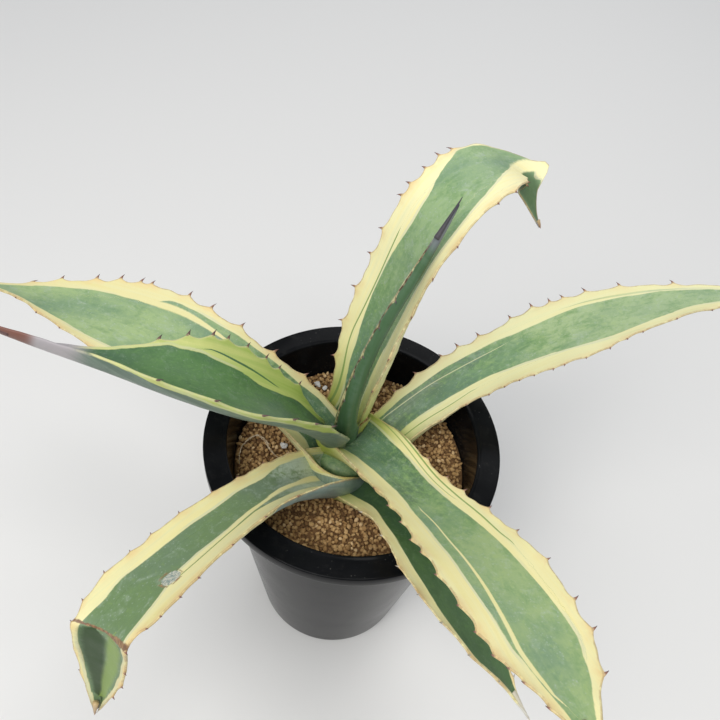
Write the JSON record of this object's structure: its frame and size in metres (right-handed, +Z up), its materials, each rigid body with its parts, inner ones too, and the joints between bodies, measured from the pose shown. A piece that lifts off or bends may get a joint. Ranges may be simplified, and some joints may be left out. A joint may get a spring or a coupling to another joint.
{
  "type": "potted plant",
  "caption": "Variegated agave with long toothed strap leaves in a deep round pot with a flat rim, filled with granular mix.",
  "frame": {"origin": "centre of the pot's flat underside", "axes": "+Z up along the pot's axis; -Y faces the side the plant is seen from"},
  "size_m": [0.3837, 0.2439, 0.3017],
  "materials": {
    "pot_plastic": "gloss, dusty",
    "gravel": "rough, porous",
    "granules": "rough, porous granules",
    "leaf": "waxy satin, cream margins",
    "young_leaf": "waxy satin",
    "stem": "rough",
    "pumice": "rough",
    "fibre": "rough, dry"
  },
  "bodies": {
    "root": {"pot": "pot_plastic", "drainage_gravel": "gravel", "potting_mix": "granules", "stem_roots": "stem", "leaf_spear": "young_leaf", "leaf_back": "leaf", "leaf_left_upper": "leaf", "leaf_left_lower": "leaf", "leaf_right": "leaf", "leaf_front_left": "leaf", "leaf_front_right": "leaf", "leaf_front_lower": "leaf", "pumice_a": "pumice", "pumice_b": "pumice", "pumice_c": "pumice", "dry_fibre": "fibre"}
  },
  "joints": []
}
